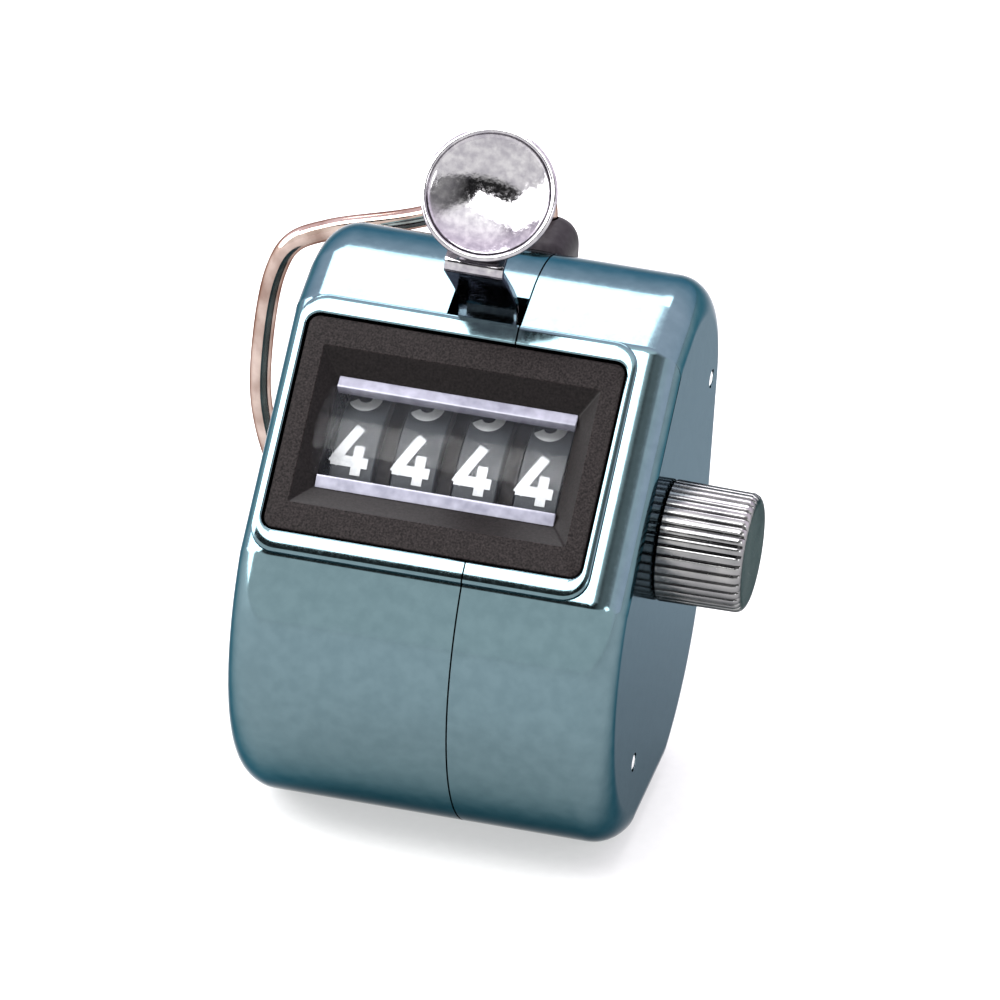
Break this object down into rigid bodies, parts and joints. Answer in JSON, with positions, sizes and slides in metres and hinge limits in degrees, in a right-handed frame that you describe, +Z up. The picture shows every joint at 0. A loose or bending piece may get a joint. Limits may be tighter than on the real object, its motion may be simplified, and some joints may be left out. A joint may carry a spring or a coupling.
{
  "type": "hand tally counter",
  "caption": "Pocket-sized chrome tally counter with a windowed digit train, dished thumb lever, knurled reset knob and folding wire finger ring.",
  "frame": {"origin": "centre of the flat base under the drum", "axes": "+X towards the reset knob, -Y towards the window, +Z up"},
  "size_m": [0.0559, 0.0482, 0.0703],
  "materials": {
    "case_chrome": "bright plating with a cool tint",
    "lever_chrome": "polished plating",
    "window_plastic": "fine grained moulded plastic",
    "lens_clear": "clear moulded plastic",
    "wheel_plastic": "satin moulded plastic with white printed digits",
    "steel_parts": "plain steel",
    "brass_parts": "machined brass",
    "knob_nickel": "nickel plated, straight knurl",
    "ring_nickel": "nickel plated wire",
    "lug_plastic": "black moulded plastic"
  },
  "bodies": {
    "case": {"left_shell": "case_chrome", "right_shell": "case_chrome", "window_bezel": "window_plastic", "window_lens": "lens_clear", "case_pin_upper": "steel_parts", "case_pin_lower": "steel_parts", "pinion_shaft": "steel_parts", "click_spring": "steel_parts", "frame_plate_left": "steel_parts", "frame_plate_right": "steel_parts", "frame_pillar_front": "steel_parts", "frame_pillar_rear": "steel_parts", "frame_screw_left_front": "steel_parts", "frame_screw_right_front": "steel_parts", "frame_screw_left_rear": "steel_parts", "frame_screw_right_rear": "steel_parts", "lever_pivot_pin": "steel_parts", "lever_return_spring": "steel_parts", "knob_bush": "brass_parts", "ring_lug_upper": "lug_plastic", "ring_lug_lower": "lug_plastic"},
    "units_wheel": {"number_wheel_units": "wheel_plastic", "ratchet_wheel": "brass_parts"},
    "tens_wheel": {"number_wheel_tens": "wheel_plastic"},
    "hundreds_wheel": {"number_wheel_hundreds": "wheel_plastic"},
    "thousands_wheel": {"number_wheel_thousands": "wheel_plastic"},
    "pinion_1": {"transfer_pinion_1": "brass_parts"},
    "pinion_2": {"transfer_pinion_2": "brass_parts"},
    "pinion_3": {"transfer_pinion_3": "brass_parts"},
    "lever": {"thumb_lever": "lever_chrome", "thumb_button": "lever_chrome", "pawl_pin": "steel_parts"},
    "pawl": {"drive_pawl": "brass_parts"},
    "reset": {"wheel_shaft": "steel_parts", "reset_knob": "knob_nickel"},
    "ring": {"finger_ring": "ring_nickel"}
  },
  "joints": [
    {"name": "lever_press", "type": "hinge", "parent": "case", "child": "lever", "pos_m": [0, 0.0019, 0.0459], "axis": [-1, 0, 0], "range_deg": [0, 14], "stiffness_Nm_per_rad": 0.15, "springref_deg": -14.32},
    {"name": "pawl_swing", "type": "hinge", "parent": "lever", "child": "pawl", "pos_m": [0.01095, 0.0102, 0.0437], "axis": [1, 0, 0], "range_deg": [0, 16]},
    {"name": "units_turn", "type": "hinge", "parent": "case", "child": "units_wheel", "pos_m": [0.0079, 0.0002, 0.0299], "axis": [-1, 0, 0], "continuous": true},
    {"name": "tens_turn", "type": "hinge", "parent": "case", "child": "tens_wheel", "pos_m": [0.00184, 0.0002, 0.0299], "axis": [-1, 0, 0], "continuous": true},
    {"name": "hundreds_turn", "type": "hinge", "parent": "case", "child": "hundreds_wheel", "pos_m": [-0.00422, 0.0002, 0.0299], "axis": [-1, 0, 0], "continuous": true},
    {"name": "thousands_turn", "type": "hinge", "parent": "case", "child": "thousands_wheel", "pos_m": [-0.01028, 0.0002, 0.0299], "axis": [-1, 0, 0], "continuous": true},
    {"name": "pinion_1_turn", "type": "hinge", "parent": "case", "child": "pinion_1", "pos_m": [0.00464, 0.0067, 0.01864], "axis": [1, 0, 0], "continuous": true},
    {"name": "pinion_2_turn", "type": "hinge", "parent": "case", "child": "pinion_2", "pos_m": [-0.00142, 0.0067, 0.01864], "axis": [1, 0, 0], "continuous": true},
    {"name": "pinion_3_turn", "type": "hinge", "parent": "case", "child": "pinion_3", "pos_m": [-0.00748, 0.0067, 0.01864], "axis": [1, 0, 0], "continuous": true},
    {"name": "knob_turn", "type": "hinge", "parent": "case", "child": "reset", "pos_m": [0.023, 0.0002, 0.0299], "axis": [1, 0, 0], "continuous": true},
    {"name": "ring_swing", "type": "hinge", "parent": "case", "child": "ring", "pos_m": [0.0002, 0.0242, 0.0279], "axis": [0, 0, -1], "range_deg": [0, 175]}
  ],
  "couplings": [
    {"joint": "pawl_swing", "follows": "lever_press", "ratio": 1.1},
    {"joint": "tens_turn", "follows": "units_turn", "ratio": 0.1},
    {"joint": "hundreds_turn", "follows": "units_turn", "ratio": 0.01},
    {"joint": "thousands_turn", "follows": "units_turn", "ratio": 0.001},
    {"joint": "pinion_1_turn", "follows": "units_turn", "ratio": 0.25},
    {"joint": "pinion_2_turn", "follows": "units_turn", "ratio": 0.025},
    {"joint": "pinion_3_turn", "follows": "units_turn", "ratio": 0.0025}
  ]
}
